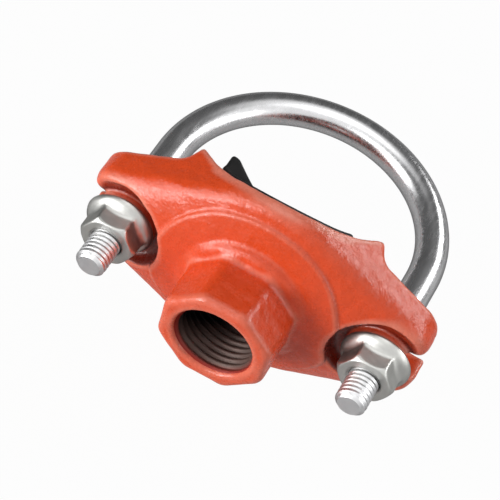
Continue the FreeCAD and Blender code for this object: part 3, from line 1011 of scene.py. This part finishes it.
def zinc_plate(name, tint, turned, dull_to):
    """Bright zinc plate, dull up to a height along Y, with the faint lines that its making left."""
    material, tree, shader = material_start(name)
    shader.inputs["Metallic"].default_value = 1.0
    shader.inputs["Specular Tint"].default_value = (0.35, 0.35, 0.35, 1.0)
    cloud = spread(tree, noise(tree, 300.0), (0.3, 0.7), (0.0, 0.5))
    tree.links.new(mixed(tree, cloud, tint, [v * 0.80 for v in tint]), shader.inputs["Base Color"])
    lines = noise(tree, 900.0, 3.0, turned)
    dull = spread(tree, axes_of(tree, "Object")["Y"], (dull_to - MM, dull_to + MM), (DULLNESS, 0.0))
    rough = calc(tree, "ADD", spread(tree, lines, (0.3, 0.7), (0.21, 0.31)), dull)
    tree.links.new(rough, shader.inputs["Roughness"])
    bumped(tree, shader, (lines, 0.000004), (noise(tree, 260.0, 2.0), 0.000012))
    return material


def moulded_rubber(g):
    """Black moulded rubber with a faint bloom."""
    material, tree, shader = material_start("moulded_rubber")
    bloom = spread(tree, noise(tree, 350.0), (0.4, 0.75), (0.0, 0.5))
    tree.links.new(mixed(tree, bloom, g.rubber, (0.022, 0.021, 0.021)), shader.inputs["Base Color"])
    rough = spread(tree, noise(tree, 900.0), (0.3, 0.7), (0.48, 0.66))
    tree.links.new(rough, shader.inputs["Roughness"])
    shader.inputs["Specular IOR Level"].default_value = 0.3
    bumped(tree, shader, (noise(tree, 1800.0, 2.0), 0.00004))
    return material


def pale_floor(s):
    """Pale floor that stays white behind the object and still takes its shadow."""
    material, tree, shader = material_start("pale_floor")
    shader.inputs["Base Color"].default_value = (*s.floor, 1.0)
    shader.inputs["Roughness"].default_value = 0.9
    shader.inputs["Specular IOR Level"].default_value = 0.1
    glow = tree.nodes.new("ShaderNodeEmission")
    ray = tree.nodes.new("ShaderNodeLightPath").outputs
    mirrored = calc(tree, "MAXIMUM", ray["Is Glossy Ray"], ray["Is Transmission Ray"])
    mirrored = calc(tree, "MULTIPLY", mirrored, s.mirrored)
    seen = calc(tree, "MAXIMUM", ray["Is Camera Ray"], mirrored)
    mix = tree.nodes.new("ShaderNodeMixShader")
    tree.links.new(calc(tree, "MULTIPLY", seen, s.glow), mix.inputs[0])
    tree.links.new(shader.outputs[0], mix.inputs[1])
    tree.links.new(glow.outputs[0], mix.inputs[2])
    tree.links.new(mix.outputs[0], tree.nodes["Material Output"].inputs["Surface"])
    return material


# Directions between which the studio grows light: upward, and toward its front
SKY_OVERHEAD = (0.84, 0.95)
SKY_BEFORE = (-0.15, 0.25)

# How much the studio's light side turns to the right
SKY_TURN = 0.6


def studio_world(s):
    """World that metal sees as light before and above it, and that lights the rest evenly."""
    world = bpy.data.worlds.new("studio")
    world.use_nodes = True
    tree = world.node_tree
    toward = axes_of(tree, "Generated")
    before = calc(tree, "MULTIPLY", toward["Y"], -1.0)
    before = calc(tree, "MULTIPLY_ADD", toward["X"], SKY_TURN, before)
    overhead = spread(tree, toward["Z"], SKY_OVERHEAD)
    light = calc(tree, "MAXIMUM", overhead, spread(tree, before, SKY_BEFORE))
    room = mixed(tree, light, [s.sky_dark] * 3, [s.sky_light] * 3)
    ray = tree.nodes.new("ShaderNodeLightPath").outputs
    look = mixed(tree, ray["Is Diffuse Ray"], room, [s.fill] * 3)
    tree.links.new(look, tree.nodes["Background"].inputs["Color"])
    return world


# Half the floor's side, and how far it lies below the object, in metres
FLOOR_HALF = 6.0
FLOOR_DROP = 0.0002

# Point that the lamps face, and how far from it they stand, in metres
LAMP_AIM = Vector((0.0, -0.012, 0.0))
LAMP_DISTANCE = 0.75


def add_floor(s):
    """Floor plane just below the object."""
    mesh = bpy.data.meshes.new("floor")
    z = CAD_BOX[0][2] - FLOOR_DROP
    signs = ((-1, -1), (1, -1), (1, 1), (-1, 1))
    mesh.from_pydata([(u * FLOOR_HALF, v * FLOOR_HALF, z) for u, v in signs], [], [(0, 1, 2, 3)])
    mesh.materials.append(pale_floor(s))
    floor = bpy.data.objects.new("floor", mesh)
    bpy.context.scene.collection.objects.link(floor)


def add_camera(s):
    """Camera at the photograph's place."""
    camera = bpy.data.cameras.new("camera")
    camera.lens = s.lens
    camera.sensor_width = 36.0
    camera.clip_start = 0.02
    camera.clip_end = 20.0
    eye = bpy.data.objects.new("camera", camera)
    eye.location = s.camera_place
    eye.rotation_euler = Euler(s.camera_turn, "XYZ")
    bpy.context.scene.collection.objects.link(eye)
    bpy.context.scene.camera = eye


def add_lamp(name, toward, size, power):
    """Soft rectangular lamp that stands in a direction and faces the object."""
    lamp = bpy.data.lights.new(name, "AREA")
    lamp.shape = "RECTANGLE"
    lamp.size, lamp.size_y = size
    lamp.energy = power
    at = Vector(toward).normalized()
    holder = bpy.data.objects.new(name, lamp)
    holder.location = LAMP_AIM + at * LAMP_DISTANCE
    holder.rotation_euler = at.to_track_quat("Z", "Y").to_euler()
    bpy.context.scene.collection.objects.link(holder)


# Outlet thread in its bore, in millimetres: depth of its start, and room at its inner end
OUTLET_START = 0.9
OUTLET_END_ROOM = 0.05

# How far the thread's mouth laps into the casting, and the length over which it does
OUTLET_MOUTH_LAP = 0.05
OUTLET_MOUTH_RUN = 1.3

# How far the thread's inner end narrows inside the bore, and the length over which it does
OUTLET_END_STEP = 0.6
OUTLET_END_RUN = 0.8

# Depth behind the bore of the wall that closes the thread's skin
OUTLET_WALL = 0.5

# Ends of a stud's thread in millimetres: depth and length of its chamfer, and its run-out
STUD_CHAMFER = 0.75
STUD_CHAMFER_RUN = 0.9
STUD_RUN_OUT = 1.3

# Points round the threads, and millimetres between their rings
OUTLET_AROUND = 97
OUTLET_RING_GAP = 0.14
STUD_AROUND = 49
STUD_RING_GAP = 0.12


class FITTING_OT_cast_saddle(bpy.types.Operator):
    """Make the cast saddle with its outlet boss"""

    bl_idname = "fitting.cast_saddle"
    bl_label = "Cast Saddle"

    def execute(self, context):
        c, g = context.scene.fitting_casting, context.scene.fitting_gasket
        field = casting_field(c, g)
        # The nuts' room sets where the painted gap shade falls on the casting
        mesh = skin("cast_saddle", field, SADDLE_LOW, SADDLE_HIGH, grid_step(c), nut_room(c))
        add_piece("cast_saddle", mesh, "saddle", "cast_paint", enamel(c), "saddle_housing")
        return {"FINISHED"}


class FITTING_OT_outlet_thread(bpy.types.Operator):
    """Make the pipe thread inside the outlet"""

    bl_idname = "fitting.outlet_thread"
    bl_label = "Outlet Thread"

    def execute(self, context):
        c, t = context.scene.fitting_casting, context.scene.fitting_thread
        material = machined_thread(c)
        start = c.boss_top - OUTLET_START
        run = start - c.bore_floor - OUTLET_END_ROOM
        mesh = grown(
            thread_tree(), material, length=run, pitch=t.outlet_pitch,
            crest_radius=t.outlet_root_r, root_radius=t.outlet_crest_r,
            start_radius=c.bore_r + OUTLET_MOUTH_LAP, start_run=OUTLET_MOUTH_RUN,
            end_radius=c.bore_r - OUTLET_END_STEP, end_run=OUTLET_END_RUN,
            around=OUTLET_AROUND, along=int(run / OUTLET_RING_GAP),
        )
        closed = gather("outlet_thread_wall", [(mesh, (0.0, -start, 0.0), c.bore_r + OUTLET_WALL)])
        add_piece("outlet_thread_wall", closed, "saddle", "cast_paint", material)
        return {"FINISHED"}


class FITTING_OT_u_bolt(bpy.types.Operator):
    """Make the U-bolt and the threads on its legs"""

    bl_idname = "fitting.u_bolt"
    bl_label = "U-bolt"

    def execute(self, context):
        t = context.scene.fitting_thread
        tip = BOLT_LOW[1]
        stud_end = tip + t.stud_length
        material = zinc_plate("zinc_bar", t.zinc, (1.0, 0.15, 1.0), stud_end * MM)
        leg = -t.drawn_in - stud_end
        bar = grown(bar_tree(), material, bend_radius=LEG_X, leg_length=leg, bar_radius=BAR_R)
        stud = grown(
            thread_tree(), material, length=t.stud_length, pitch=t.stud_pitch,
            crest_radius=t.stud_crest_r, root_radius=t.stud_root_r,
            start_radius=t.stud_root_r - STUD_CHAMFER, start_run=STUD_CHAMFER_RUN,
            end_radius=BAR_R, end_run=STUD_RUN_OUT,
            around=STUD_AROUND, along=int(t.stud_length / STUD_RING_GAP),
        )
        parts = [(bar, (0.0, -t.drawn_in, 0.0), 0.0)]
        parts += [(stud, (x, tip, 0.0), 0.0) for x in (-LEG_X, LEG_X)]
        add_piece("bent_bolt", gather("bent_bolt", parts), "bolt", "zinc_bar", material, "u_bolt")
        return {"FINISHED"}


class FITTING_OT_flange_nuts(bpy.types.Operator):
    """Make the two flange nuts"""

    bl_idname = "fitting.flange_nuts"
    bl_label = "Flange Nuts"

    def execute(self, context):
        n = context.scene.fitting_nut
        material = zinc_plate("zinc_nut", n.zinc, (1.0, 1.0, 0.3), -n.seat * MM)
        for side, leg_x in (("left", -LEG_X), ("right", LEG_X)):
            node, body = side + "_nut", side + "_flange_nut"
            mesh = skin(body, nut_field(n, leg_x), *node_box(node), grid_step(n))
            add_piece(node + "_piece", mesh, body, "zinc_nut_" + side, material, node)
        return {"FINISHED"}


class FITTING_OT_gasket(bpy.types.Operator):
    """Make the rubber gasket"""

    bl_idname = "fitting.gasket"
    bl_label = "Gasket"

    def execute(self, context):
        c, g = context.scene.fitting_casting, context.scene.fitting_gasket
        mesh = skin("moulded_gasket", gasket_field(c, g), *node_box("gasket"), grid_step(g))
        add_piece("moulded_gasket", mesh, "saddle", "gasket_rubber", moulded_rubber(g), "gasket")
        return {"FINISHED"}


class FITTING_OT_stage(bpy.types.Operator):
    """Make the floor, lamps, world and camera"""

    bl_idname = "fitting.stage"
    bl_label = "Stage"

    def execute(self, context):
        s = context.scene.fitting_stage
        add_floor(s)
        add_camera(s)
        for name, toward, size, power in (
            ("left_lamp", (-0.75, -0.66, 0.04), (0.48, 0.48), s.left_power),
            ("high_lamp", (-0.75, -0.45, 0.48), (0.40, 0.40), s.high_power),
            ("rim_lamp", (-0.36, -0.72, 0.59), (0.20, 0.14), s.rim_power),
            ("front_lamp", (-0.50, -0.86, 0.03), (0.30, 0.30), s.front_power),
            ("right_lamp", (0.93, -0.10, 0.35), (0.40, 0.40), s.right_power),
            ("back_lamp", (0.62, 0.62, 0.50), (0.8, 0.18), s.back_power),
            ("top_lamp", (-0.05, -0.10, 0.98), (0.60, 0.40), s.top_power),
        ):
            add_lamp(name, toward, size, power)
        context.scene.world = studio_world(s)
        context.scene.view_settings.view_transform = "Standard"
        return {"FINISHED"}


class FITTING_PT_panel(bpy.types.Panel):
    """Sizes and pieces of the fitting"""

    bl_idname = "FITTING_PT_panel"
    bl_label = "Saddle Outlet Fitting"
    bl_space_type = "VIEW_3D"
    bl_region_type = "UI"
    bl_category = "Fitting"

    def draw(self, context):
        for operator in OPERATORS:
            self.layout.operator(operator.bl_idname)
        for label in GROUPS:
            box = self.layout.box()
            group = getattr(context.scene, label)
            for prop in group.bl_rna.properties:
                if prop.identifier not in ("rna_type", "name"):
                    box.prop(group, prop.identifier)


OPERATORS = (
    FITTING_OT_cast_saddle,
    FITTING_OT_outlet_thread,
    FITTING_OT_u_bolt,
    FITTING_OT_flange_nuts,
    FITTING_OT_gasket,
    FITTING_OT_stage,
)
GROUPS = {
    "fitting_casting": CastingSizes,
    "fitting_thread": ThreadSizes,
    "fitting_nut": NutSizes,
    "fitting_gasket": GasketSizes,
    "fitting_stage": StageSizes,
}


def register():
    for group in GROUPS.values():
        bpy.utils.register_class(group)
    for label, group in GROUPS.items():
        setattr(bpy.types.Scene, label, bpy.props.PointerProperty(type=group))
    for item in OPERATORS + (FITTING_PT_panel,):
        bpy.utils.register_class(item)


def unregister():
    for item in reversed(OPERATORS + (FITTING_PT_panel,)):
        bpy.utils.unregister_class(item)
    for label in GROUPS:
        delattr(bpy.types.Scene, label)
    for group in reversed(list(GROUPS.values())):
        bpy.utils.unregister_class(group)


def main():
    register()
    bpy.ops.fitting.cast_saddle()
    bpy.ops.fitting.outlet_thread()
    bpy.ops.fitting.u_bolt()
    bpy.ops.fitting.flange_nuts()
    bpy.ops.fitting.gasket()
    bpy.ops.fitting.stage()


if __name__ == "__main__":
    main()
